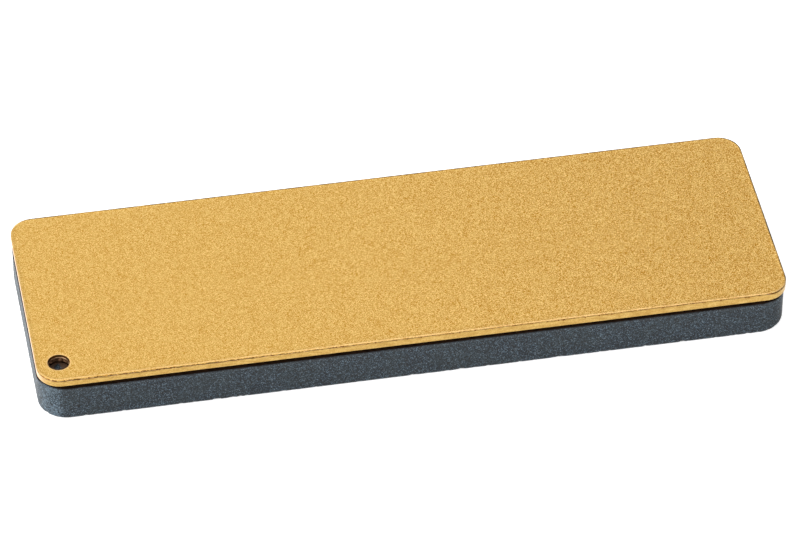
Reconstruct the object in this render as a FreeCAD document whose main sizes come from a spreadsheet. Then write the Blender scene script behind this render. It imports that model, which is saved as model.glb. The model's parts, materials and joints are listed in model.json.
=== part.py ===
import FreeCAD, Part
import math
import os

import Sketcher

# A two-sided pocket whetstone: a block of sintered ceramic with a gold-plated diamond plate bonded to its top.
#
# Everything is in millimetres. The origin is the middle of the stone's underside, X runs along the stone,
# Y runs across it and Z points up to the diamond face. From the bottom up the layers are the ceramic stone,
# the adhesive film, the steel plate inside its plating, and the nickel layer that holds the diamond grit.

SIZES = {
    "length": (100.0, "overall length, along X"),
    "width": (32.0, "overall width, along Y"),
    "thickness": (7.0, "overall thickness, along Z"),
    "stone_corner": (4.0, "radius of the stone's upright corners"),
    "stone_arris": (0.3, "radius that eases the stone's top and bottom edges"),
    "plate_corner": (3.1, "radius of the plate's upright corners, plating included"),
    "plate_depth": (1.0, "thickness of the steel plate with its plating"),
    "plating_wall": (0.1, "thickness of the gold-coloured plating"),
    "plate_arris": (0.06, "radius of the plating's lower edge"),
    "diamond_depth": (0.2, "thickness of the nickel layer with the grit in it"),
    "diamond_arris": (0.08, "radius of the diamond layer's upper edge"),
    "seam_bevel": (0.05, "bevel on each side of the fine line between plating and diamond layer"),
    "bond_depth": (0.25, "thickness of the adhesive film"),
    "bond_inset": (0.35, "how far the film stops short of the plate's edge"),
    "hole_diameter": (2.9, "finished diameter of the hole through the plate"),
    "hole_from_end": (3.0, "from the stone's left end to the middle of the hole"),
    "hole_from_side": (3.45, "from the stone's front side to the middle of the hole"),
    "bond_hole_gap": (0.2, "how far the film stops short of the hole"),
}
HOLE_X = "Sizes.length / 2 - Sizes.hole_from_end"
HOLE_Y = "Sizes.width / 2 - Sizes.hole_from_side"
HOLE_RADIUS = "Sizes.hole_diameter / 2"
STONE_DEPTH = "Sizes.thickness - Sizes.diamond_depth - Sizes.plate_depth - Sizes.bond_depth"
QUARTER_TURN = math.pi / 2
SAME_HEIGHT = 1e-6


def size_sheet(doc):
    """The driving dimensions, one row each: name, value with the name as its alias, and meaning."""
    sheet = doc.addObject("Spreadsheet::Sheet", "Sizes")
    for row, (alias, (size, meaning)) in enumerate(SIZES.items(), start=1):
        sheet.set(f"A{row}", alias)
        sheet.set(f"B{row}", str(size))
        sheet.setAlias(f"B{row}", alias)
        sheet.set(f"C{row}", meaning)
    doc.recompute()
    return sheet


def new_body(doc, label, height):
    """An empty body whose local origin stands at the given height, an expression, above the stone's underside."""
    name = label.title().replace("_", "")
    body = doc.addObject("PartDesign::Body", name)
    body.Label = label
    body.setExpression("Placement.Base.z", height)
    return body


def level_sketch(body, name, height=None):
    """A sketch on the body's XY plane, or lifted above it by height, which is an expression."""
    sketch = body.newObject("Sketcher::SketchObject", name)
    plane = next(f for f in body.Origin.OriginFeatures if f.Role == "XY_Plane")
    sketch.AttachmentSupport = [(plane, "")]
    sketch.MapMode = "FlatFace"
    if height:
        sketch.setExpression("AttachmentOffset.Base.z", height)
    return sketch


def bind(sketch, constraint, name, size):
    """Adds a dimension, names it and ties it to the expression size."""
    index = sketch.addConstraint(constraint)
    sketch.renameConstraint(index, name)
    sketch.setExpression(f"Constraints.{name}", size)


def draw_outline(sketch, length, width, corner):
    """A rounded rectangle about the sketch's origin. Its three sizes are expressions."""
    half_x = sketch.evalExpression(length) / 2
    half_y = sketch.evalExpression(width) / 2
    radius = sketch.evalExpression(corner)
    centre_x = half_x - radius
    centre_y = half_y - radius
    up = FreeCAD.Vector(0, 0, 1)

    arcs = []
    corners = ((1, 1), (-1, 1), (-1, -1), (1, -1))
    for turn, (side_x, side_y) in enumerate(corners):
        centre = FreeCAD.Vector(side_x * centre_x, side_y * centre_y, 0)
        circle = Part.Circle(centre, up, radius)
        arc = Part.ArcOfCircle(circle, turn * QUARTER_TURN, (turn + 1) * QUARTER_TURN)
        arcs.append(sketch.addGeometry(arc, False))

    ends = (
        ((centre_x, half_y), (-centre_x, half_y)),
        ((-half_x, centre_y), (-half_x, -centre_y)),
        ((-centre_x, -half_y), (centre_x, -half_y)),
        ((half_x, -centre_y), (half_x, centre_y)),
    )
    sides = []
    for start, end in ends:
        line = Part.LineSegment(FreeCAD.Vector(*start, 0), FreeCAD.Vector(*end, 0))
        sides.append(sketch.addGeometry(line, False))

    for turn in range(4):
        following = arcs[(turn + 1) % 4]
        sketch.addConstraint(Sketcher.Constraint("Tangent", arcs[turn], 2, sides[turn], 1))
        sketch.addConstraint(Sketcher.Constraint("Tangent", sides[turn], 2, following, 1))
        level = "Horizontal" if turn % 2 == 0 else "Vertical"
        sketch.addConstraint(Sketcher.Constraint(level, sides[turn]))
    for arc in arcs[1:]:
        sketch.addConstraint(Sketcher.Constraint("Equal", arcs[0], arc))
    sketch.addConstraint(Sketcher.Constraint("Symmetric", sides[0], 1, sides[2], 1, -1, 1))

    bind(sketch, Sketcher.Constraint("DistanceX", sides[1], 1, sides[3], 1, 2 * half_x), "length", length)
    bind(sketch, Sketcher.Constraint("DistanceY", sides[2], 1, sides[0], 1, 2 * half_y), "width", width)
    bind(sketch, Sketcher.Constraint("Radius", arcs[0], radius), "corner", corner)


def draw_hole(sketch, radius):
    """The plate's hole, near its left front corner. The radius is an expression."""
    offset_x = sketch.evalExpression(HOLE_X)
    offset_y = sketch.evalExpression(HOLE_Y)
    size = sketch.evalExpression(radius)
    middle = FreeCAD.Vector(-offset_x, -offset_y, 0)
    circle = sketch.addGeometry(Part.Circle(middle, FreeCAD.Vector(0, 0, 1), size), False)
    bind(sketch, Sketcher.Constraint("DistanceX", circle, 3, -1, 1, offset_x), "hole_x", HOLE_X)
    bind(sketch, Sketcher.Constraint("DistanceY", circle, 3, -1, 1, offset_y), "hole_y", HOLE_Y)
    bind(sketch, Sketcher.Constraint("Radius", circle, size), "hole_radius", radius)


def pad(body, sketch, depth):
    """The sketch raised by depth, an expression."""
    feature = body.newObject("PartDesign::Pad", f"{body.Name}Pad")
    feature.Profile = sketch
    feature.setExpression("Length", depth)
    sketch.Document.recompute()
    return feature


def pocket_down(body, sketch, depth):
    """Cuts the sketch downwards by depth, an expression, and checks that it took material away."""
    before = body.Shape.Volume
    feature = body.newObject("PartDesign::Pocket", f"{body.Name}Pocket")
    feature.Profile = sketch
    feature.setExpression("Length", depth)
    sketch.Document.recompute()
    if body.Shape.Volume >= before:
        raise RuntimeError(f"{feature.Name} cut nothing")
    return feature


def level_edges(feature, height, of_hole=False):
    """Names of the edges that lie level at this height: the outline's, or the hole's, which is a closed circle."""
    names = []
    for number, edge in enumerate(feature.Shape.Edges, start=1):
        box = edge.BoundBox
        level = abs(box.ZMin - height) < SAME_HEIGHT and abs(box.ZMax - height) < SAME_HEIGHT
        if level and edge.isClosed() == of_hole:
            names.append(f"Edge{number}")
    if not names:
        raise RuntimeError(f"{feature.Name} has no such edge at height {height}")
    return names


def round_edges(body, feature, edges, radius):
    """Rounds the named edges of the feature by radius, an expression."""
    fillet = body.newObject("PartDesign::Fillet", f"{body.Name}Fillet")
    fillet.Base = (feature, edges)
    fillet.setExpression("Radius", radius)
    body.Document.recompute()
    return fillet


def bevel_edges(body, feature, edges, size):
    """Bevels the named edges of the feature by size, an expression."""
    chamfer = body.newObject("PartDesign::Chamfer", f"{body.Name}Chamfer")
    chamfer.Base = (feature, edges)
    chamfer.setExpression("Size", size)
    body.Document.recompute()
    return chamfer


def ceramic_stone(doc):
    """The grey block that everything else is bonded to, with eased edges above and below."""
    body = new_body(doc, "ceramic_stone", "0")
    sketch = level_sketch(body, "StoneOutline")
    draw_outline(sketch, "Sizes.length", "Sizes.width", "Sizes.stone_corner")
    block = pad(body, sketch, STONE_DEPTH)
    top = block.evalExpression(STONE_DEPTH)
    edges = level_edges(block, 0.0) + level_edges(block, top)
    round_edges(body, block, edges, "Sizes.stone_arris")
    return body


def bond_film(doc):
    """The adhesive between stone and plate, held back from the plate's edge and from its hole."""
    body = new_body(doc, "bond_film", STONE_DEPTH)
    sketch = level_sketch(body, "FilmOutline")
    draw_outline(
        sketch,
        "Sizes.length - 2 * Sizes.bond_inset",
        "Sizes.width - 2 * Sizes.bond_inset",
        "Sizes.plate_corner - Sizes.bond_inset",
    )
    draw_hole(sketch, f"{HOLE_RADIUS} + Sizes.bond_hole_gap")
    pad(body, sketch, "Sizes.bond_depth")
    return body


def draw_core(sketch):
    """The outline of the bare steel: the plate's, less the plating on its rim and in its hole."""
    draw_outline(
        sketch,
        "Sizes.length - 2 * Sizes.plating_wall",
        "Sizes.width - 2 * Sizes.plating_wall",
        "Sizes.plate_corner - Sizes.plating_wall",
    )
    draw_hole(sketch, f"{HOLE_RADIUS} + Sizes.plating_wall")


def steel_plate(doc):
    """The punched steel plate, bare, as it lies inside its plating."""
    body = new_body(doc, "steel_plate", f"{STONE_DEPTH} + Sizes.bond_depth + Sizes.plating_wall")
    sketch = level_sketch(body, "CoreOutline")
    draw_core(sketch)
    pad(body, sketch, "Sizes.plate_depth - Sizes.plating_wall")
    return body


def gold_plating(doc):
    """The plating under the steel plate, round its rim and through its hole: a shallow tray with one sleeve."""
    body = new_body(doc, "gold_plating", f"{STONE_DEPTH} + Sizes.bond_depth")
    outline = level_sketch(body, "PlatingOutline")
    draw_outline(outline, "Sizes.length", "Sizes.width", "Sizes.plate_corner")
    draw_hole(outline, HOLE_RADIUS)
    block = pad(body, outline, "Sizes.plate_depth")
    eased = round_edges(body, block, level_edges(block, 0.0), "Sizes.plate_arris")
    top = block.evalExpression("Sizes.plate_depth")
    bevel_edges(body, eased, level_edges(eased, top), "Sizes.seam_bevel")
    core = level_sketch(body, "PlatingCore", "Sizes.plate_depth")
    draw_core(core)
    pocket_down(body, core, "Sizes.plate_depth - Sizes.plating_wall")
    return body


def diamond_layer(doc):
    """The nickel layer with the diamond grit, over the whole top of the plate."""
    body = new_body(doc, "diamond_layer", "Sizes.thickness - Sizes.diamond_depth")
    sketch = level_sketch(body, "DiamondOutline")
    draw_outline(sketch, "Sizes.length", "Sizes.width", "Sizes.plate_corner")
    draw_hole(sketch, HOLE_RADIUS)
    block = pad(body, sketch, "Sizes.diamond_depth")
    bevelled = bevel_edges(body, block, level_edges(block, 0.0), "Sizes.seam_bevel")
    top = block.evalExpression("Sizes.diamond_depth")
    edges = level_edges(bevelled, top) + level_edges(bevelled, top, of_hole=True)
    round_edges(body, bevelled, edges, "Sizes.diamond_arris")
    return body


def check(doc, bodies):
    """Stops the build if any object failed to compute or a sub-part isn't one valid solid."""
    for item in doc.Objects:
        if "Invalid" in item.State or "Error" in item.State:
            raise RuntimeError(f"{item.Name} failed: {item.State}")
    for body in bodies:
        shape = body.Shape
        if shape.isNull() or not shape.isValid() or len(shape.Solids) != 1:
            raise RuntimeError(f"{body.Label} is not one valid solid")


def main():
    doc = FreeCAD.newDocument("whetstone")
    size_sheet(doc)
    makers = (ceramic_stone, bond_film, steel_plate, gold_plating, diamond_layer)
    bodies = [make(doc) for make in makers]
    doc.recompute()
    check(doc, bodies)

    os.makedirs("parts", exist_ok=True)
    for body in bodies:
        body.Shape.exportStep(f"parts/{body.Label}.step")
        box = body.Shape.BoundBox
        print(f"{body.Label}: {body.Shape.Volume:.1f} mm3, z {box.ZMin:.2f} to {box.ZMax:.2f}")


main()
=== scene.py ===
"""Looks of a two-sided pocket whetstone: a ceramic stone with a gold-coloured diamond plate bonded on top.

Everything is in metres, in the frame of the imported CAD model: the origin is the middle of the stone's
underside, X runs along the stone, Y across it and Z up to the diamond face.
"""

import json
import math

import bmesh
import bpy
import numpy as np
from mathutils import Matrix, Vector, noise
from mathutils.geometry import delaunay_2d_cdt


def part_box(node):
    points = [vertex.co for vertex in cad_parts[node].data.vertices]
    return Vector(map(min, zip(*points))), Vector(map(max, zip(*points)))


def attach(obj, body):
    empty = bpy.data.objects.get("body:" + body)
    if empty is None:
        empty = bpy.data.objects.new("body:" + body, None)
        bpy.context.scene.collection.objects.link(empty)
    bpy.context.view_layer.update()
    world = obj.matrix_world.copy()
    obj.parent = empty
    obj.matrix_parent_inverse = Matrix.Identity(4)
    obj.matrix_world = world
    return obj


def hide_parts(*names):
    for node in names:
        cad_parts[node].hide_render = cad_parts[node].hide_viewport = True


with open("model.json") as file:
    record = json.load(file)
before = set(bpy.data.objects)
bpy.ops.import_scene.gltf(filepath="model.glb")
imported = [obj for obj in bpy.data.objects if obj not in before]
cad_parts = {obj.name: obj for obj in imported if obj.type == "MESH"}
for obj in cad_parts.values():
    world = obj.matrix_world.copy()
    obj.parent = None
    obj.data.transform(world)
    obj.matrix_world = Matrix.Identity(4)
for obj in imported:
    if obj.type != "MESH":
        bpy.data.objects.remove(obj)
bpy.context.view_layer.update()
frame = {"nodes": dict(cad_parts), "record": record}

MM = 0.001
QUARTER_TURN = math.pi / 2

# Places and sizes that the frame gives.
STONE_LOW, STONE_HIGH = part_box("ceramic_stone")
FILM_LOW, FILM_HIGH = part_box("bond_film")
PLATE_LOW, PLATE_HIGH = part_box("gold_plating")
CORE_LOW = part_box("steel_plate")[0]
GRIT_LOW, GRIT_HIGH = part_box("diamond_layer")
HOLE = next(mount for mount in frame["record"]["mounts"] if mount["name"] == "plate_hole")
HOLE_CENTRE = np.array(HOLE["pos_m"][:2])
HOLE_RADIUS = HOLE["dims"]["r_mm"] * MM

# Radii of the upright corners and of the eased edges.
STONE_CORNER = 4.0 * MM
STONE_ARRIS = 0.3 * MM
PLATE_CORNER = 3.1 * MM
PLATE_ARRIS = 0.06 * MM
SEAM_ARRIS = 0.03 * MM

# The rounded rectangle of each layer as seen from above: its lowest and highest corners, and its radius.
STONE_PLAN = (STONE_LOW, STONE_HIGH, STONE_CORNER)
FILM_PLAN = (FILM_LOW, FILM_HIGH, PLATE_CORNER)
PLATE_PLAN = (PLATE_LOW, PLATE_HIGH, PLATE_CORNER)
GRIT_PLAN = (GRIT_LOW, GRIT_HIGH, PLATE_CORNER)

# The seam between the plating and the diamond layer: how deep and how open it is before it gets ragged, and
# how far above and below it there are dark specks.
SEAM_DEPTH = 0.09 * MM
SEAM_OPENING = 0.05 * MM
FRAY_REACH = 0.17 * MM

# The diamond layer: how far its face lies below the crest of its bead, and the radii of the bead's outer
# edge and of the edge round the hole.
FACE_DROP = 0.03 * MM
BEAD_RADIUS = 0.1 * MM
MOUTH_RADIUS = 0.04 * MM

# The hole's wall: how far the ridge on it is below the plating's top, how far it stands out, and which of
# the wall's rings are its crest and which are above it.
RIDGE_DROP = 0.23 * MM
RIDGE_DEPTH = 0.12 * MM
RIDGE_CREST = slice(4, 6)
ABOVE_RIDGE = slice(6, 9)

# How far down the stone's side the painted shade under the plate's edge reaches, from the stone's top, and
# how much further it runs at each end.
SHADE_DEPTH = 0.39 * MM
LEFT_RUN = 0.6 * MM
RIGHT_RUN = 0.3 * MM

# How far apart the points round a rim and up a side are, and how many there are round the hole.
RING_STEP = 0.2 * MM
PLATE_SIDE_STEP = 0.14 * MM
HOLE_STEPS = 96
BEND_STEPS = 4

# How far scattered points stray from their rows, as a share of the distance between them.
SCATTER = 0.3

# How far apart in the noise the patterns of two seeds are.
SEED_SHIFT = Vector((31.7, 17.3, 5.9))

# What the triangulation is asked for: triangles inside the loops, with points merged within this distance,
# in millimetres.
INSIDE_LOOPS = 1
MERGE_WITHIN = 1e-7


# -------------------------------------------------------------- plan shapes


def outline(plan):
    """Points round a rounded rectangle, about RING_STEP apart, and the outward direction at each."""
    low, high, corner = plan
    half = np.array((high.x - low.x, high.y - low.y)) / 2
    straight = half - corner
    turn_steps = max(6, math.ceil(corner * QUARTER_TURN / RING_STEP))
    points, outward = [], []
    for quarter, (side_x, side_y) in enumerate(((1, 1), (-1, 1), (-1, -1), (1, -1))):
        centre = straight * (side_x, side_y)
        angles = (quarter + np.linspace(0, 1, turn_steps + 1)) * QUARTER_TURN
        turn = np.column_stack((np.cos(angles), np.sin(angles)))
        points.append(centre + corner * turn)
        outward.append(turn)
        run = 2 * straight[quarter % 2]
        side_steps = max(2, round(run / RING_STEP))
        along = np.array((-turn[-1][1], turn[-1][0]))
        shares = np.arange(1, side_steps)[:, None] / side_steps
        points.append(points[-1][-1] + shares * run * along)
        outward.append(np.repeat(turn[-1:], side_steps - 1, axis=0))
    return np.vstack(points), np.vstack(outward)


def circle(radius):
    """Points round the plate's hole, and the direction out of the metal, towards its axis, at each."""
    angles = np.arange(HOLE_STEPS) / HOLE_STEPS * 2 * math.pi
    turn = np.column_stack((np.cos(angles), np.sin(angles)))
    return HOLE_CENTRE + radius * turn, -turn


def at_height(points, height):
    """Flat points lifted to a height, which may vary from point to point."""
    return np.column_stack((points, np.broadcast_to(height, len(points))))


def drift(points, size, seed):
    """A smooth random value from about -1 to 1 at each point, with features about size across.

    The seed picks the pattern.
    """
    shift = SEED_SHIFT * seed
    spots = points / size
    if spots.shape[1] == 2:
        spots = at_height(spots, 0)
    return np.array([noise.noise(Vector(spot) + shift) for spot in spots])


def inside_depth(points, plan):
    """How far each point lies inside the edge of a rounded rectangle."""
    low, high, corner = plan
    half = np.array((high.x - low.x, high.y - low.y)) / 2
    past = np.abs(points[:, :2]) - (half - corner)
    beyond = np.linalg.norm(np.maximum(past, 0), axis=1)
    return corner - beyond - np.minimum(past.max(axis=1), 0)


def from_hole(points):
    """How far each point is outside the wall of the plate's hole."""
    return np.linalg.norm(points[:, :2] - HOLE_CENTRE, axis=1) - HOLE_RADIUS


def scatter(plan, rng, spacing, margin, hole=None):
    """Points over a rounded rectangle in staggered rows, each shifted a little.

    They keep a margin from its edge and, where hole gives one, another from the wall of the hole.
    """
    low, high, _ = plan
    row_gap = spacing * math.sqrt(3) / 2
    xs = np.arange(low.x, high.x, spacing)
    ys = np.arange(low.y, high.y, row_gap)
    grid_x, grid_y = np.meshgrid(xs, ys)
    grid_x[1::2] += spacing / 2
    points = np.column_stack((grid_x.ravel(), grid_y.ravel()))
    points += rng.uniform(-SCATTER, SCATTER, points.shape) * spacing
    keep = inside_depth(points, plan) > margin
    if hole is not None:
        keep &= from_hole(points) > hole
    return points[keep]


# ------------------------------------------------------------ smooth changes


def step_between(values, start, end):
    """0 up to start, 1 from end, and a smooth rise between."""
    share = np.clip((values - start) / (end - start), 0, 1)
    return share * share * (3 - 2 * share)


def leftwards(points, start, end):
    """0 to the right of start, 1 to the left of end, and a smooth rise between. Both are places along X."""
    return step_between(-points[:, 0], -start, -end)


def bell(values, middle, reach):
    """1 at the middle, falling smoothly to 0 at reach from it."""
    return 1 - step_between(np.abs(values - middle), 0, reach)


# --------------------------------------------------------------- mesh making


class Shell:
    """The vertices and faces of one piece, gathered ring by ring and cap by cap."""

    def __init__(self):
        self.points = np.zeros((0, 3))
        self.faces = []

    def add(self, points):
        first = len(self.points)
        self.points = np.vstack((self.points, points))
        return np.arange(first, len(self.points))

    def bridge(self, ring, following):
        """Four-sided faces between two rings of as many points."""
        sides = (ring, np.roll(ring, -1), np.roll(following, -1), following)
        self.faces += np.column_stack(sides).tolist()

    def sweep(self, edge, insets, heights):
        """Joined rings that follow the edge, one for each inset and height, which may vary along it."""
        points, outward = edge
        rings = []
        for inset, height in zip(insets, heights):
            inset = np.broadcast_to(inset, len(points))
            rings.append(self.add(at_height(points - outward * inset[:, None], height)))
        for ring, following in zip(rings, rings[1:]):
            self.bridge(ring, following)
        return rings

    def cap(self, outer, inner, scattered):
        """Triangles over the level area inside the outer ring, round the inner one if there is one."""
        rings = [outer] if inner is None else [outer, inner]
        loops, first = [], 0
        for ring in rings:
            ids = np.arange(first, first + len(ring))
            loops += np.column_stack((ids, np.roll(ids, -1))).tolist()
            first += len(ring)
        corners = np.concatenate((*rings, self.add(scattered)))
        flat = [Vector(point) for point in self.points[corners, :2] / MM]
        made = delaunay_2d_cdt(flat, loops, [], INSIDE_LOOPS, MERGE_WITHIN, True)
        origin = [ids[0] for ids in made[3]]
        outer_end, inner_end = len(outer), first
        for face in made[2]:
            ids = [origin[corner] for corner in face]
            # Hollows in a ring get triangles too, and so does the hole. They have all their corners on that
            # ring, and such a triangle is inside the ring only if it turns left in the ring's order.
            a, b, c = sorted(ids)
            inside = (flat[b] - flat[a]).cross(flat[c] - flat[a]) > 0
            past_outer = c < outer_end and not inside
            in_inner = outer_end <= a and c < inner_end and inside
            if not past_outer and not in_inner:
                self.faces.append([int(corners[i]) for i in ids])

    def piece(self, name, material, attributes):
        """The finished object, with every face turned outwards and the attributes' value at each point."""
        mesh = bpy.data.meshes.new(name)
        mesh.from_pydata(self.points.tolist(), [], self.faces)
        work = bmesh.new()
        work.from_mesh(mesh)
        bmesh.ops.recalc_face_normals(work, faces=work.faces)
        if work.calc_volume(signed=True) < 0:
            bmesh.ops.reverse_faces(work, faces=work.faces)
        work.to_mesh(mesh)
        work.free()
        mesh.shade_smooth()
        for key, values in attributes.items():
            layer = mesh.attributes.new(key, "FLOAT", "POINT")
            layer.data.foreach_set("value", np.asarray(values, np.float32))
        mesh.materials.append(material)
        made = bpy.data.objects.new(name, mesh)
        bpy.context.scene.collection.objects.link(made)
        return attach(made, "root")


def rounded_edge(radius, high):
    """Insets and heights down a rounded upper edge of a radius, starting at its highest point."""
    bend = np.linspace(0, QUARTER_TURN, BEND_STEPS + 1)
    return radius * (1 - np.sin(bend)), high - radius * (1 - np.cos(bend))


def eased_side(low, high, ease_low, ease_high, step):
    """Insets and heights of an upright side from its underside to its top, with both edges rounded."""
    bend = np.linspace(0, QUARTER_TURN, BEND_STEPS + 1)
    rows = max(2, round((high - low - ease_low - ease_high) / step))
    upright = np.linspace(low + ease_low, high - ease_high, rows + 1)[1:-1]
    insets = np.concatenate((
        ease_low * (1 - np.sin(bend)),
        np.zeros(len(upright)),
        ease_high * (1 - np.cos(bend)),
    ))
    heights = np.concatenate((
        low + ease_low * (1 - np.cos(bend)),
        upright,
        high - ease_high * (1 - np.sin(bend)),
    ))
    return insets, heights


# ---------------------------------------------------------------- materials


def srgb(red, green, blue):
    """A display colour, 0 to 255, as linear light with an alpha of 1."""
    def channel(value):
        value /= 255
        return value / 12.92 if value <= 0.04045 else ((value + 0.055) / 1.055) ** 2.4

    return (channel(red), channel(green), channel(blue), 1.0)


# Colours from the darkest grains to the lightest, each at its place from 0 to 1.
GRIT_COLOURS = (
    (0.0, srgb(154, 103, 12)),
    (0.28, srgb(175, 119, 12)),
    (0.5, srgb(196, 158, 78)),
    (0.72, srgb(231, 197, 124)),
    (1.0, srgb(226, 194, 124)),
)
GOLD_COLOURS = ((0.2, srgb(148, 113, 49)), (0.5, srgb(175, 140, 74)), (0.8, srgb(199, 169, 101)))
HOLE_WALL_COLOURS = ((0.34, srgb(64, 44, 28)), (0.5, srgb(128, 94, 68)), (0.64, srgb(198, 152, 118)))
# The adhesive's near-black brown is partly its own colour and partly painted shade of the gap under the
# plate.
ADHESIVE_COLOURS = ((0.3, srgb(14, 8, 4)), (0.7, srgb(34, 21, 12)))
CERAMIC_COLOURS = (
    (0.25, srgb(0, 2, 6)),
    (0.50, srgb(7, 17, 25)),
    (0.72, srgb(31, 48, 60)),
    (0.95, srgb(100, 119, 133)),
)
STEEL_COLOURS = ((0.3, srgb(150, 150, 148)), (0.7, srgb(190, 190, 188)))
FLOOR_COLOURS = ((0.3, srgb(250, 250, 250)), (0.7, srgb(253, 253, 253)))

# Single colours of what lies on or in those surfaces, and of painted highlights and painted shade.
SPECK_COLOUR = srgb(108, 54, 0)
GRIT_HIGHLIGHT = srgb(248, 211, 152)
GRIT_SHADE = srgb(34, 18, 6)
GOLD_HIGHLIGHT = srgb(255, 216, 186)
DEEP_SHADE = srgb(62, 40, 10)
THIN_ADHESIVE = srgb(74, 52, 36)
CERAMIC_TINT = srgb(32, 42, 42)
CRYSTAL = srgb(140, 152, 160)
PORE = srgb(0, 1, 3)
WORN_CERAMIC = srgb(90, 98, 104)
WIPED_CERAMIC = srgb(128, 140, 148)
UNDER_PLATE_SHADE = srgb(20, 13, 8)
RESIDUE = srgb(78, 56, 40)


class Recipe:
    """One material, and short ways to add its nodes and join them."""

    def __init__(self, name):
        self.material = bpy.data.materials.new(name)
        self.material.use_nodes = True
        self.tree = self.material.node_tree
        self.surface = self.tree.nodes["Principled BSDF"]
        self.place = self.node("TexCoord").outputs["Object"]

    def node(self, kind, inputs=None, **settings):
        made = self.tree.nodes.new("ShaderNode" + kind)
        for key, value in settings.items():
            setattr(made, key, value)
        for key, value in (inputs or {}).items():
            self.feed(made.inputs[key], value)
        return made

    def feed(self, socket, value):
        if isinstance(value, bpy.types.NodeSocket):
            self.tree.links.new(value, socket)
        else:
            socket.default_value = value

    def finish(self, **inputs):
        for key, value in inputs.items():
            self.feed(self.surface.inputs[key.replace("_", " ")], value)
        return self.material

    def cells(self, size):
        """Random cells about size across: two random values of each, and the distance from its middle."""
        made = self.node("TexVoronoi", {"Vector": self.place, "Scale": 1 / size, "Randomness": 1.0})
        parts = self.node("SeparateColor", {"Color": made.outputs["Color"]})
        return parts.outputs["Red"], parts.outputs["Green"], made.outputs["Distance"]

    def clouds(self, size, detail=2.0):
        """Smooth noise with features about size across, from 0 to 1."""
        inputs = {"Vector": self.place, "Scale": 1 / size, "Detail": detail}
        return self.node("TexNoise", inputs).outputs["Fac"]

    def stretched_clouds(self, sizes, detail):
        """Smooth noise with a size of its own along each axis."""
        scaled = self.node("Mapping", {"Vector": self.place, "Scale": [1 / size for size in sizes]})
        inputs = {"Vector": scaled.outputs["Vector"], "Scale": 1.0, "Detail": detail}
        return self.node("TexNoise", inputs).outputs["Fac"]

    def attribute(self, name):
        return self.node("Attribute", attribute_name=name).outputs["Fac"]

    def along(self):
        """How far along the stone from its middle, in metres."""
        return self.node("SeparateXYZ", {"Vector": self.place}).outputs["X"]

    def math(self, operation, first, second, third=0.0):
        made = self.node("Math", operation=operation)
        for socket, value in zip(made.inputs, (first, second, third)):
            self.feed(socket, value)
        return made.outputs["Value"]

    def scaled(self, value, factor, offset):
        """value times factor, plus offset."""
        return self.math("MULTIPLY_ADD", value, factor, offset)

    def remap(self, value, low, high, new_low, new_high):
        """value carried from one range to another, smoothly and without passing either end."""
        inputs = {"Value": value, "From Min": low, "From Max": high, "To Min": new_low, "To Max": new_high}
        return self.node("MapRange", inputs, interpolation_type="SMOOTHSTEP").outputs["Result"]

    def ramp(self, value, stops):
        """Colours along value, each stop being a place from 0 to 1 and a colour."""
        made = self.node("ValToRGB", {"Fac": value})
        bar = made.color_ramp
        while len(bar.elements) < len(stops):
            bar.elements.new(1.0)
        for element, (place, colour) in zip(bar.elements, stops):
            element.position = place
            element.color = colour
        return made.outputs["Color"]

    def mix(self, share, first, second):
        """The first colour where the share is 0, the second where it is 1.

        The node has sockets for each kind of data, and the numbered ones are those for colours.
        """
        made = self.node("Mix", data_type="RGBA")
        self.feed(made.inputs[0], share)
        self.feed(made.inputs[6], first)
        self.feed(made.inputs[7], second)
        return made.outputs[2]

    def bump(self, height, depth, strength=1.0):
        """A surface direction from a height of 0 to 1 that stands for a real depth."""
        inputs = {"Height": height, "Distance": depth, "Strength": strength}
        return self.node("Bump", inputs).outputs["Normal"]


def frayed(recipe, colour):
    """The colour with dark specks along the seam: "fray" is the share of them, and none where it is 0."""
    specks = recipe.cells(0.21 * MM)[0]
    dark = recipe.remap(recipe.math("ADD", specks, recipe.attribute("fray")), 1.0, 1.04, 0, 1)
    return recipe.mix(dark, colour, SPECK_COLOUR)


def grit_material():
    """Nickel-bonded diamond grit under a gold-coloured coat: bright and dark grains, and a painted
    highlight on the bead.

    The grains stand out more from one another towards the right end, and are a little darker there: a
    painted shade, away from the light.
    """
    recipe = Recipe("diamond_grit")
    grain, gloss, dome = recipe.cells(0.075 * MM)
    mottle = recipe.clouds(2.5 * MM)
    contrast = recipe.remap(recipe.along(), 0.6 * STONE_LOW.x, STONE_HIGH.x, 0.51, 1.14)
    # Painted shade: the grains' middle tone darkens towards the right end, away from the light.
    middle = recipe.remap(recipe.along(), -0.1 * STONE_HIGH.x, STONE_HIGH.x, 0.51, 0.46)
    light = recipe.scaled(recipe.math("SUBTRACT", grain, 0.5), contrast, middle)
    light = recipe.math("ADD", light, recipe.scaled(mottle, 0.01, -0.005))
    colour = recipe.ramp(light, GRIT_COLOURS)
    # Painted highlight on the bead and round the hole's mouth.
    colour = recipe.mix(recipe.math("MULTIPLY", recipe.attribute("painted_highlight"), 0.75), colour, GRIT_HIGHLIGHT)
    # Painted shade in the seam, in the hole's mouth, and on the sides away from and towards the light.
    shade_and_grime = recipe.attribute("shade_and_grime")
    colour = recipe.mix(shade_and_grime, colour, GRIT_SHADE)
    colour = frayed(recipe, colour)
    roughness = recipe.scaled(gloss, 0.22, 0.4)
    normal = recipe.bump(dome, 0.01 * MM, 0.35)
    metallic = recipe.scaled(shade_and_grime, -0.75, 0.8)
    shine = recipe.scaled(shade_and_grime, -0.5, 0.5)
    return recipe.finish(
        Base_Color=colour, Metallic=metallic, Roughness=roughness, Normal=normal, Specular_IOR_Level=shine
    )


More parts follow.
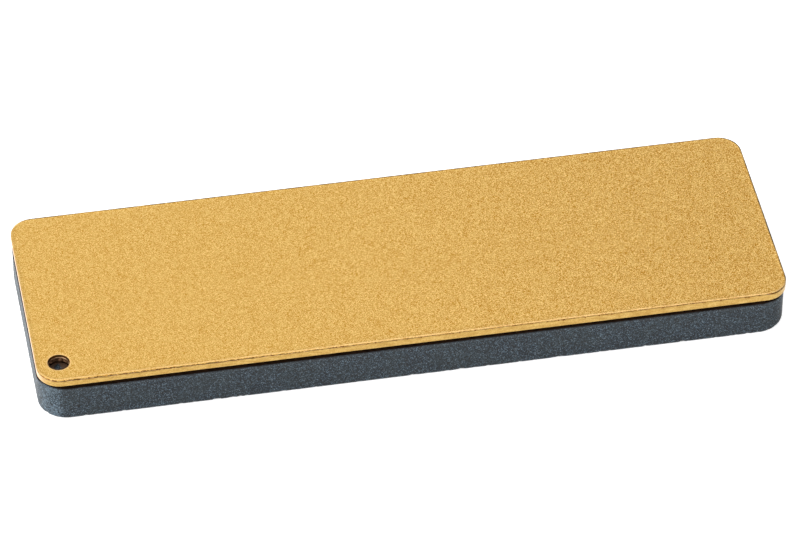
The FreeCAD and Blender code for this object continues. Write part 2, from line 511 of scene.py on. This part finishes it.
def gold_material():
    """Smooth gold-coloured plating, with faint streaks along the plate's side and a dark brown hole wall.

    The attribute for shade and grime brings in, from 0 to 1, the dark brown of the hole's wall, partly
    painted shade and partly duller plating, and from 1 to 2 the painted shade of the seam and of the upper
    wall.
    """
    recipe = Recipe("gold_plate")
    streaks = recipe.stretched_clouds((1.3 * MM, 1.3 * MM, 0.3 * MM), 3.0)
    grain, gloss, dome = recipe.cells(0.12 * MM)
    light = recipe.scaled(streaks, 0.7, recipe.math("MULTIPLY", grain, 0.3))
    colour = recipe.ramp(light, GOLD_COLOURS)
    # Painted highlight: a pale reflection on the side that faces left, and a shine on the hole's ridge.
    colour = recipe.mix(recipe.attribute("painted_highlight"), colour, GOLD_HIGHLIGHT)
    # The hole's dark brown wall, partly painted shade and partly duller plating, and painted shade in the
    # seam.
    shade_and_grime = recipe.attribute("shade_and_grime")
    wall_blotches = recipe.clouds(0.35 * MM, 3.0)
    colour = recipe.mix(shade_and_grime, colour, recipe.ramp(wall_blotches, HOLE_WALL_COLOURS))
    colour = recipe.mix(recipe.math("SUBTRACT", shade_and_grime, 1.0), colour, DEEP_SHADE)
    colour = frayed(recipe, colour)
    roughness = recipe.scaled(gloss, 0.12, 0.28)
    normal = recipe.bump(dome, 0.006 * MM, 0.5)
    metallic = recipe.scaled(recipe.math("MINIMUM", shade_and_grime, 1.0), -0.5, 0.85)
    shine = recipe.scaled(recipe.math("MINIMUM", shade_and_grime, 1.0), -0.4, 0.5)
    return recipe.finish(
        Base_Color=colour, Metallic=metallic, Roughness=roughness, Normal=normal, Specular_IOR_Level=shine
    )


def adhesive_material():
    """Dark brown epoxy with painted shade of the gap under the plate, dull where it was squeezed out and
    wiped off.
    """
    recipe = Recipe("adhesive")
    clouds = recipe.clouds(0.8 * MM, 3.0)
    colour = recipe.ramp(clouds, ADHESIVE_COLOURS)
    colour = recipe.mix(recipe.attribute("thin"), colour, THIN_ADHESIVE)
    roughness = recipe.remap(clouds, 0.3, 0.7, 0.55, 0.8)
    normal = recipe.bump(recipe.clouds(0.3 * MM), 0.03 * MM)
    return recipe.finish(Base_Color=colour, Roughness=roughness, Normal=normal, Specular_IOR_Level=0.0)


def ceramic_material():
    """Dark blue-grey sintered ceramic with fine grains and pale crystals, and painted light and shade on
    its sides.

    One attribute gives how far a point is above the lower edge of the painted shade under the plate, in
    millimetres.
    """
    recipe = Recipe("ceramic")
    grain, gloss, dome = recipe.cells(0.088 * MM)
    crystals = recipe.cells(0.1 * MM)[0]
    pores = recipe.cells(0.12 * MM)[0]
    mottle = recipe.clouds(1.5 * MM, 3.0)
    light = recipe.scaled(mottle, 0.1, recipe.scaled(grain, 0.83, 0.035))
    # Painted light on the front-left corner, where the side turns towards the light.
    light = recipe.scaled(recipe.attribute("painted_light"), 0.27, light)
    colour = recipe.ramp(light, CERAMIC_COLOURS)
    tint = recipe.clouds(3.0 * MM)
    colour = recipe.mix(recipe.remap(tint, 0.35, 0.65, 0.0, 0.3), colour, CERAMIC_TINT)
    colour = recipe.mix(recipe.remap(crystals, 0.975, 0.985, 0.0, 0.34), colour, CRYSTAL)
    colour = recipe.mix(recipe.remap(pores, 0.86, 0.9, 0.0, 0.8), colour, PORE)
    colour = recipe.mix(recipe.math("MULTIPLY", recipe.attribute("wear"), 0.25), colour, WORN_CERAMIC)

    # Painted shade under the plate's edge: dark brown, ragged, fading down the stone's side, and without
    # sheen.
    ragged = recipe.clouds(0.45 * MM, 3.0)
    above = recipe.scaled(ragged, -0.12, recipe.math("ADD", recipe.attribute("above_shade_edge"), 0.06))
    shade_share = recipe.remap(above, -0.34, 0.22, 0.0, 1.0)
    wiped = recipe.remap(above, -0.6, -0.2, 0.0, 0.05)
    colour = recipe.mix(wiped, colour, WIPED_CERAMIC)
    colour = recipe.mix(shade_share, colour, UNDER_PLATE_SHADE)
    colour = recipe.mix(recipe.math("MULTIPLY", recipe.attribute("residue"), 0.85), colour, RESIDUE)
    roughness = recipe.scaled(gloss, 0.25, 0.38)
    normal = recipe.bump(dome, 0.015 * MM, 0.5)
    # Painted shade: less reflection on the side that faces right, away from the light.
    shine = recipe.scaled(recipe.attribute("shaded_side"), -0.18, 0.3)
    shine = recipe.math("MULTIPLY", recipe.math("SUBTRACT", 1.0, shade_share), shine)
    return recipe.finish(Base_Color=colour, Roughness=roughness, Normal=normal, Specular_IOR_Level=shine)


def steel_material():
    """Bare brushed steel."""
    recipe = Recipe("steel")
    lines = recipe.stretched_clouds((8 * MM, 0.05 * MM, 0.05 * MM), 4.0)
    colour = recipe.ramp(lines, STEEL_COLOURS)
    roughness = recipe.remap(lines, 0.3, 0.7, 0.25, 0.45)
    normal = recipe.bump(lines, 0.005 * MM)
    return recipe.finish(Base_Color=colour, Metallic=1.0, Roughness=roughness, Normal=normal)


def floor_material():
    """A plain white studio table."""
    recipe = Recipe("studio_floor")
    clouds = recipe.clouds(40 * MM)
    colour = recipe.ramp(clouds, FLOOR_COLOURS)
    return recipe.finish(Base_Color=colour, Roughness=0.9, Emission_Color=colour, Emission_Strength=0.5)


# --------------------------------------------------------- seam between pieces


def seam(points):
    """How deep and how open the line between plating and diamond layer is, and how far it strays up.

    It is deeper, more open and more ragged towards the left end, and once more at the right front corner.
    """
    ragged = drift(points, 0.6 * MM, 1) * 0.7 + drift(points, 0.28 * MM, 2) * 0.5
    long_waves = drift(points, 7 * MM, 3)
    left = leftwards(points, 10 * MM, -45 * MM)
    depth = 0.6 + 0.4 * left + 0.9 * ragged + 0.4 * long_waves
    opening = SEAM_OPENING * np.clip(1 + 1.1 * left * (0.8 + ragged), 0.6, 3)
    waver = 0.6 * drift(points, 0.9 * MM, 4) + drift(points, 0.3 * MM, 5)
    stray = (0.02 + 0.12 * left) * MM * waver - 0.08 * MM * left
    right_corner = step_between(points[:, 0], 46.2 * MM, 48 * MM)
    right_corner *= step_between(-points[:, 1], 0, 10 * MM)
    depth = SEAM_DEPTH * (depth + 0.6 * right_corner).clip(0.05, 1)
    opening *= 1 + 2 * right_corner
    return depth, opening, stray


def in_seam(from_rim):
    """0 outside the seam and 1 in its depth, from how far points are inside the rim."""
    return step_between(from_rim, 0.01 * MM, SEAM_DEPTH)


def fray(points, seam_height):
    """The share of dark specks beside the seam, which is highest at the left end.

    It fades to none at FRAY_REACH above or below the seam.
    """
    left = leftwards(points, -15 * MM, -40 * MM)
    beside = 1 - step_between(np.abs(points[:, 2] - seam_height), 0.3 * FRAY_REACH, FRAY_REACH)
    return (0.13 + 0.24 * left) * beside


# ------------------------------------------------------------- diamond layer


def diamond_layer(material):
    """The grit layer: a grainy face inside a low rounded bead, its rim, and the mouth of the hole."""
    rng = np.random.default_rng(7)
    top, low = GRIT_HIGH.z, GRIT_LOW.z
    face = top - FACE_DROP
    shell = Shell()

    rim = outline(GRIT_PLAN)
    depth, opening, stray = seam(rim[0])
    wander = 0.012 * MM * drift(rim[0], 0.4 * MM, 6)
    insets = [0.5 * MM, 0.36 * MM, 0.24 * MM, 0.17 * MM]
    heights = [face, face + 0.012 * MM, top - 0.006 * MM, top + wander.clip(max=0)]
    for inset, height in zip(*rounded_edge(BEAD_RADIUS, top)):
        insets.append(inset - wander.clip(max=0))
        heights.append(height)
    insets += [depth * 0.25, depth, np.maximum(depth, 0.2 * MM) + 0.1 * MM]
    heights += [low + opening + stray, low + opening * 0.3 + stray, low]
    outer = shell.sweep(rim, insets, heights)

    bend_insets, bend_heights = rounded_edge(MOUTH_RADIUS, face)
    mouth_insets = [0.3 * MM, *bend_insets, 0.01 * MM, 0.03 * MM]
    mouth_heights = [face, *bend_heights, low + 0.04 * MM, low]
    inner = shell.sweep(circle(HOLE_RADIUS), mouth_insets, mouth_heights)

    spots = scatter(GRIT_PLAN, rng, spacing=0.225 * MM, margin=0.62 * MM, hole=0.42 * MM)
    grains = rng.normal(0, 0.004 * MM, len(spots)).clip(-0.015 * MM, 0.015 * MM)
    shell.cap(outer[0], inner[0], at_height(spots, face + grains))
    under = scatter(GRIT_PLAN, rng, spacing=4 * MM, margin=1.5 * MM, hole=0.6 * MM)
    shell.cap(outer[-1], inner[-1], at_height(under, low))
    return shell.piece("diamond_face", material, diamond_looks(shell.points, rim[1], outer, low, face))


def diamond_looks(points, outward, rings, low, face):
    """Where the diamond layer has painted shade, painted highlights and dark specks.

    The rings are those of its rim, and outward is the direction out of them at each point. Painted
    shade darkens the seam, the hole's mouth, the side that faces away from the light in patches, and in
    places the side that faces it.
    """
    from_rim = inside_depth(points, GRIT_PLAN)
    # Painted shade in the seam's groove and in the hole's mouth.
    seam_shade = in_seam(from_rim)
    seam_shade *= 1 - step_between(points[:, 2], low + 0.05 * MM, low + 0.11 * MM)
    hole_shade = 1 - step_between(from_hole(points), 0.02 * MM, 0.05 * MM)
    hole_shade *= 1 - step_between(points[:, 2], face - 0.03 * MM, face - 0.002 * MM)
    facing_away, facing_left = np.zeros((2, len(points)))
    for ring in rings:
        facing_away[ring] = (outward @ (0.8, 1.0)).clip(0, 1)
        facing_left[ring] = (-outward[:, 0]).clip(0, 1) ** 4
    # Painted shade in patches on the side that faces away from the light, and a lighter one on the side
    # that faces it.
    shade_patches = 1.0 + 1.1 * drift(points, 1.5 * MM, 43)
    shade_patches *= 1 - step_between(from_rim, 0.13 * MM, 0.26 * MM)
    lit_side_shade = 0.25 * (1 + 1.2 * drift(points, 0.6 * MM, 44)) * facing_left
    lit_side_shade *= 1 - step_between(from_rim, 0.08 * MM, 0.2 * MM)
    back_shade = (facing_away * shade_patches).clip(0, 0.9)
    shade_and_grime = np.maximum.reduce((seam_shade, 0.88 * hole_shade, back_shade, lit_side_shade))

    left = leftwards(points, 30 * MM, -45 * MM)
    # Painted highlight: a pale band inside the bead's crest and a fainter ring round the hole's mouth,
    # weaker where the side faces away from the light or towards it.
    patchy = 0.75 + 0.5 * drift(points, 1.2 * MM, 41)
    painted_highlight = bell(from_rim, 0.06 * MM + 0.08 * MM * left, 0.12 * MM) * patchy
    painted_highlight += 0.5 * bell(from_hole(points), 0.05 * MM, 0.25 * MM)
    painted_highlight *= step_between(points[:, 2], face - 0.06 * MM, face)
    painted_highlight *= (1 - 0.8 * facing_away) * (1 - 0.6 * facing_left)
    return {"shade_and_grime": shade_and_grime, "painted_highlight": painted_highlight.clip(0, 1), "fray": fray(points, low)}


# ------------------------------------------------------------------- plating


def gold_plating(material):
    """The plating: the plate's side and underside, the sleeve of its hole and the tray for the steel."""
    rng = np.random.default_rng(11)
    low, top = PLATE_LOW.z, PLATE_HIGH.z
    wall = CORE_LOW.z - PLATE_LOW.z
    shell = Shell()

    rim = outline(PLATE_PLAN)
    depth, opening, stray = seam(rim[0])
    burr = 0.11 * MM * step_between(rim[0][:, 0], -30 * MM, 30 * MM) - 0.03 * MM
    insets, heights = [0.2 * MM], [low]
    side = eased_side(low, top - SEAM_OPENING, PLATE_ARRIS, SEAM_ARRIS, PLATE_SIDE_STEP)
    for inset, height in zip(*side):
        uneven = drift(at_height(rim[0], height), 0.7 * MM, 8).clip(min=-1)
        insets.append(inset + 0.006 * MM * (1 + uneven))
        near_seam = step_between(height, low + 0.4 * MM, top - SEAM_OPENING)
        at_foot = 1 - step_between(height, low, low + 0.5 * MM)
        heights.append(height + near_seam * (stray + SEAM_OPENING - opening) - at_foot * burr)
    insets += [depth, np.maximum(depth, wall), wall]
    heights += [top - opening * 0.3 + stray, top, CORE_LOW.z]
    outer = shell.sweep(rim, insets, heights)

    sleeve = circle(HOLE_RADIUS)
    uneven = 0.02 * MM * drift(sleeve[0], 0.45 * MM, 10)
    ridge = top - RIDGE_DROP + uneven
    sleeve_insets, sleeve_heights = zip(
        (0.05 * MM, low),
        (0.03 * MM, low + 0.04 * MM),
        (0.02 * MM + uneven, low + 0.35 * MM),
        (uneven, ridge - 0.12 * MM),
        (uneven - RIDGE_DEPTH, ridge - 0.03 * MM),
        (uneven - RIDGE_DEPTH, ridge),
        (0.0, ridge + 0.04 * MM),
        (0.0, top - 0.03 * MM),
        (0.02 * MM, top),
        (wall, top),
        (wall, CORE_LOW.z),
    )
    inner = shell.sweep(sleeve, sleeve_insets, sleeve_heights)

    under = scatter(PLATE_PLAN, rng, spacing=1.5 * MM, margin=0.8 * MM, hole=0.5 * MM)
    shell.cap(outer[0], inner[0], at_height(under, low))
    shell.cap(outer[-1], inner[-1], at_height(under, CORE_LOW.z))
    looks = plating_looks(shell.points, rim[1], outer, sleeve[0], inner, top)
    return shell.piece("gold_plating_shell", material, looks)


def plating_looks(points, outward, rim_rings, sleeve, sleeve_rings, top):
    """Where the plating has painted shade, a dark hole wall, painted highlights and dark specks. Its rings
    are on the rim and the hole's sleeve.
    """
    from_rim = inside_depth(points, PLATE_PLAN)
    seam_shade = in_seam(from_rim) * step_between(points[:, 2], top - 0.2 * MM, top - 0.1 * MM)
    # The hole's wall is dark brown, partly painted shade and partly duller plating, and the seam gets
    # painted shade.
    near_hole = 1 - step_between(from_hole(points), 0.2 * MM, 0.4 * MM)
    shade_and_grime = np.where(near_hole > 0, near_hole, 2 * seam_shade)
    painted_highlight = np.zeros(len(points))
    # The crest of the ridge has a painted highlight with dark patches, and the wall above it has painted
    # shade all over.
    for ring in sleeve_rings[RIDGE_CREST]:
        shade_and_grime[ring] = (-3 * drift(sleeve, 0.4 * MM, 42)).clip(0, 1.6)
        painted_highlight[ring] = 0.5
    for ring in sleeve_rings[ABOVE_RIDGE]:
        shade_and_grime[ring] = 2
    # Painted reflection on the rim where it faces left, towards the light.
    for ring in rim_rings:
        painted_highlight[ring] = 0.6 * (-outward[:, 0]).clip(0, 1) ** 6
    return {"shade_and_grime": shade_and_grime, "painted_highlight": painted_highlight, "fray": fray(points, top)}


# ------------------------------------------------------------- adhesive film


def over_arris(outset, degrees):
    """Insets and heights of points at one distance from the stone's rounded edge, at angles from above."""
    radius = STONE_ARRIS + outset
    middle = STONE_HIGH.z - STONE_ARRIS
    angles = [math.radians(angle) for angle in degrees]
    insets = [STONE_ARRIS - radius * math.sin(angle) for angle in angles]
    return insets, [middle + radius * math.cos(angle) for angle in angles]


def bond_film(material):
    """The adhesive film and what was squeezed out of it: a smear over the stone's edge, hollow above."""
    rng = np.random.default_rng(13)
    low, top = FILM_LOW.z, FILM_HIGH.z
    shell = Shell()
    rim = outline(STONE_PLAN)

    hidden_insets, hidden_heights = over_arris(-0.02 * MM, (0, 30, 60, 85))
    smear_insets, smear_heights = over_arris(0.015 * MM, (75, 57, 40))
    lip = 0.03 * MM * drift(rim[0], 0.5 * MM, 21) + 0.07 * MM * leftwards(rim[0], 40 * MM, -10 * MM)
    hollow = 0.02 * MM * (1 + drift(rim[0], 1.3 * MM, 22))
    hollow += 0.03 * MM * (1 + drift(rim[0], 5 * MM, 23))
    insets = [STONE_ARRIS + 0.05 * MM, *hidden_insets, 0.004 * MM]
    heights = [low, *hidden_heights, low - 0.27 * MM + lip]
    insets += [inset + 0.006 * MM for inset in smear_insets]
    heights += smear_heights
    insets += [inset + hollow for inset in (0.14 * MM, 0.15 * MM, 0.13 * MM, 0.1 * MM)]
    heights += [low + 0.03 * MM, low + 0.1 * MM, low + 0.18 * MM, top]
    outer = shell.sweep(rim, insets, heights)

    hole = circle(HOLE_RADIUS + 0.1 * MM)
    slump = 0.03 * MM * (1 + drift(hole[0], 0.5 * MM, 24))
    hole_insets = [slump - 0.1 * MM, slump - 0.02 * MM, slump]
    inner = shell.sweep(hole, hole_insets, [low, (low + top) / 2, top])
    spots = scatter(FILM_PLAN, rng, spacing=3 * MM, margin=1.2 * MM, hole=0.8 * MM)
    shell.cap(outer[0], inner[0], at_height(spots, low))
    shell.cap(outer[-1], inner[-1], at_height(spots, top))
    in_hole = from_hole(shell.points) < 0.25 * MM
    thin = in_hole * (0.5 + 1.2 * drift(shell.points, 0.6 * MM, 25))
    return shell.piece("adhesive_film", material, {"thin": thin.clip(0, 1)})


# --------------------------------------------------------------------- stone


def pits(points, rng, count, radius, depth):
    """How far each point sinks into small round pits scattered over the same points."""
    sunk = np.zeros(len(points))
    for middle in points[rng.choice(len(points), count, replace=False)]:
        size = radius * rng.uniform(0.6, 1.5)
        near = np.linalg.norm(points - middle, axis=1) / size
        sunk = np.maximum(sunk, depth * rng.uniform(0.4, 1.0) * np.clip(1 - near**2, 0, 1))
    return sunk


def sunk_side(side, rng):
    """How far each point of the stone's side sinks in: waves, grain, pits, and chips on the edges."""
    low, top = STONE_LOW.z, STONE_HIGH.z
    sunk = 0.016 * MM * (1 + drift(side, 0.9 * MM, 31)) / 2
    sunk += np.abs(rng.normal(0, 0.009 * MM, len(side)))
    sunk += pits(side, rng, 260, 0.26 * MM, 0.06 * MM)
    above_low = side[:, 2] - low
    on_edge = 1 - step_between(above_low, 0.1 * MM, 0.5 * MM)
    chips = step_between(drift(side, 0.8 * MM, 32), 0.32, 0.6) * on_edge
    sunk += 0.11 * MM * chips
    return sunk * (1 - step_between(above_low, top - low - 0.4 * MM, top - low - 0.25 * MM))


def ceramic_stone(material):
    """The stone: grainy sides with pits, edges with small chips, a lapped underside and a hidden top."""
    rng = np.random.default_rng(17)
    low, top = STONE_LOW.z, STONE_HIGH.z
    shell = Shell()
    rim = outline(STONE_PLAN)
    side_insets, side_heights = eased_side(low, top, STONE_ARRIS, STONE_ARRIS, RING_STEP)
    side = np.vstack([at_height(rim[0], height) for height in side_heights])
    sunk = sunk_side(side, rng).reshape(len(side_heights), -1)
    rings = shell.sweep(rim, [a + b for a, b in zip(side_insets, sunk)], side_heights)

    # The top shows only in the hole, so that is where its points are close together.
    spots = scatter(STONE_PLAN, rng, spacing=0.34 * MM, margin=0.62 * MM)
    lapped = np.abs(rng.normal(0, 0.004 * MM, len(spots)))
    shell.cap(rings[0], None, at_height(spots, low + lapped))
    sparse = scatter(STONE_PLAN, rng, spacing=1.1 * MM, margin=0.8 * MM, hole=1.2 * MM)
    dense = scatter(STONE_PLAN, rng, spacing=0.12 * MM, margin=0.5 * MM)
    dense = dense[from_hole(dense) < 0.15 * MM]
    spots = np.vstack((sparse, dense))
    grains = np.abs(rng.normal(0, 0.012 * MM, len(spots)))
    shell.cap(rings[-1], None, at_height(spots, top - grains))
    return shell.piece("stone_block", material, stone_looks(shell.points, rim[1], rings, side))


def stone_looks(points, outward, rings, side):
    """Where the stone is worn, or has painted light or painted shade: side is its side before it was made
    uneven.
    """
    low, top = STONE_LOW.z, STONE_HIGH.z
    wear = np.zeros(len(points))
    rubbed = 0.5 + 0.5 * drift(side, 2.4 * MM, 33)
    wear[: len(side)] = (1 - step_between(side[:, 2] - low, 0.02 * MM, 0.35 * MM)) * rubbed

    # How far down the painted shade under the plate reaches; it runs further at the left and right ends.
    depth = SHADE_DEPTH - 0.05 * MM * leftwards(points, 40 * MM, -10 * MM)
    facing_x, facing_y = outward.T
    # Painted light where the side turns from the front towards the left.
    lit_turn = step_between(-facing_x, 0.15, 0.6) * (1 - 0.6 * step_between(-facing_x, 0.8, 1.0))
    painted_light, shaded_side = np.zeros((2, len(points)))
    for ring in rings:
        painted_light[ring] = lit_turn * step_between(-facing_y, -0.4, 0.1)
        # Painted shade on the side that faces right, through less reflection.
        shaded_side[ring] = step_between(facing_x, 0.05, 0.7)
        depth[ring] += LEFT_RUN * (-facing_x).clip(0, 1) ** 8
        depth[ring] += RIGHT_RUN * step_between(facing_x, 0.2, 0.8)

    in_hole = (from_hole(points) < 0.1 * MM) & (points[:, 2] > top - 0.1 * MM)
    above_shade_edge = np.where(in_hole, -1, (points[:, 2] - top + depth) / MM)
    bare_spot = HOLE_CENTRE + np.array((-0.15, 0.7)) * MM
    from_spot = np.linalg.norm(points[:, :2] - bare_spot, axis=1)
    from_spot += 0.35 * MM * drift(points, 0.5 * MM, 34)
    residue = step_between(from_spot, 0.3 * MM, 0.7 * MM) * in_hole
    return {
        "wear": wear.clip(0, 1),
        "above_shade_edge": above_shade_edge,
        "residue": residue,
        "painted_light": painted_light,
        "shaded_side": shaded_side,
    }


# ------------------------------------------------------------- light, camera

# The way to the soft light, the cosines of the angle from it between which it fades, and its strength at
# each of them.
LIGHT_FROM = (-0.62, 0.0, 0.78)
LIGHT_ANGLES = (-0.05, 1.0)
LIGHT_LEVELS = (0.02, 2.55)

FLOOR_SIZE = 3.0

# The camera: the way to it from the middle of the top, and its roll, in degrees; how far off it is; how far
# it is shifted right and down, so that the stone lies where it does in the photo; and its lens.
AZIMUTH, ELEVATION, ROLL = -10.64, 42.22, 0.3
DISTANCE = 710 * MM
SHIFT_RIGHT, SHIFT_DOWN = 0.44 * MM, 1.45 * MM
LENS, SENSOR_WIDTH = 240.3, 36.0
CLIP_START, CLIP_END = 0.05, 10.0


def studio_floor():
    bpy.ops.mesh.primitive_grid_add(x_subdivisions=2, y_subdivisions=2, size=FLOOR_SIZE)
    floor = bpy.context.object
    floor.name = "studio_floor"
    floor.data.materials.append(floor_material())


def studio_light():
    """One huge soft light above and to the left that fades with the angle from it.

    The camera sees plain white.
    """
    world = bpy.data.worlds.new("studio")
    world.use_nodes = True
    tree = world.node_tree
    background = tree.nodes["Background"]
    towards = tree.nodes.new("ShaderNodeVectorMath")
    towards.operation = "DOT_PRODUCT"
    tree.links.new(tree.nodes.new("ShaderNodeTexCoord").outputs["Generated"], towards.inputs[0])
    towards.inputs[1].default_value = Vector(LIGHT_FROM).normalized()
    fade = tree.nodes.new("ShaderNodeMapRange")
    tree.links.new(towards.outputs["Value"], fade.inputs["Value"])
    for key, value in zip(("From Min", "From Max", "To Min", "To Max"), (*LIGHT_ANGLES, *LIGHT_LEVELS)):
        fade.inputs[key].default_value = value
    # The numbered sockets of this one are those for single values.
    seen = tree.nodes.new("ShaderNodeMix")
    tree.links.new(tree.nodes.new("ShaderNodeLightPath").outputs["Is Camera Ray"], seen.inputs["Factor"])
    tree.links.new(fade.outputs["Result"], seen.inputs[2])
    seen.inputs[3].default_value = 1.0
    tree.links.new(seen.outputs[0], background.inputs["Strength"])
    background.inputs["Color"].default_value = (1.0, 1.0, 1.0, 1.0)
    bpy.context.scene.world = world


def studio_camera():
    """A long lens from the front, a little to the left, looking down at the diamond face."""
    azimuth, elevation, roll = (math.radians(angle) for angle in (AZIMUTH, ELEVATION, ROLL))
    back = Vector((
        math.sin(azimuth) * math.cos(elevation),
        -math.cos(azimuth) * math.cos(elevation),
        math.sin(elevation),
    ))
    level_right = (-back).cross(Vector((0, 0, 1))).normalized()
    level_up = level_right.cross(-back)
    right = math.cos(roll) * level_right + math.sin(roll) * level_up
    up = math.cos(roll) * level_up - math.sin(roll) * level_right
    data = bpy.data.cameras.new("studio_camera")
    data.lens = LENS
    data.sensor_width = SENSOR_WIDTH
    data.clip_start, data.clip_end = CLIP_START, CLIP_END
    camera = bpy.data.objects.new("studio_camera", data)
    top_middle = Vector((0, 0, GRIT_HIGH.z))
    place = top_middle + back * DISTANCE + right * SHIFT_RIGHT - up * SHIFT_DOWN
    camera.matrix_world = Matrix.Translation(place) @ Matrix((right, up, back)).transposed().to_4x4()
    bpy.context.scene.collection.objects.link(camera)
    bpy.context.scene.camera = camera


def dress():
    """Builds every visible piece, hides the CAD node it stands for, and gives the steel plate its material.
    """
    for build, material, node, slot in (
        (ceramic_stone, ceramic_material, "ceramic_stone", "ceramic"),
        (bond_film, adhesive_material, "bond_film", "adhesive"),
        (gold_plating, gold_material, "gold_plating", "gold_plate"),
        (diamond_layer, grit_material, "diamond_layer", "diamond_grit"),
    ):
        piece = build(material())
        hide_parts(node)
    steel = frame["nodes"]["steel_plate"]
    steel.data.materials.clear()
    steel.data.materials.append(steel_material())


dress()
studio_floor()
studio_light()
studio_camera()
bpy.context.scene.view_settings.view_transform = "Standard"
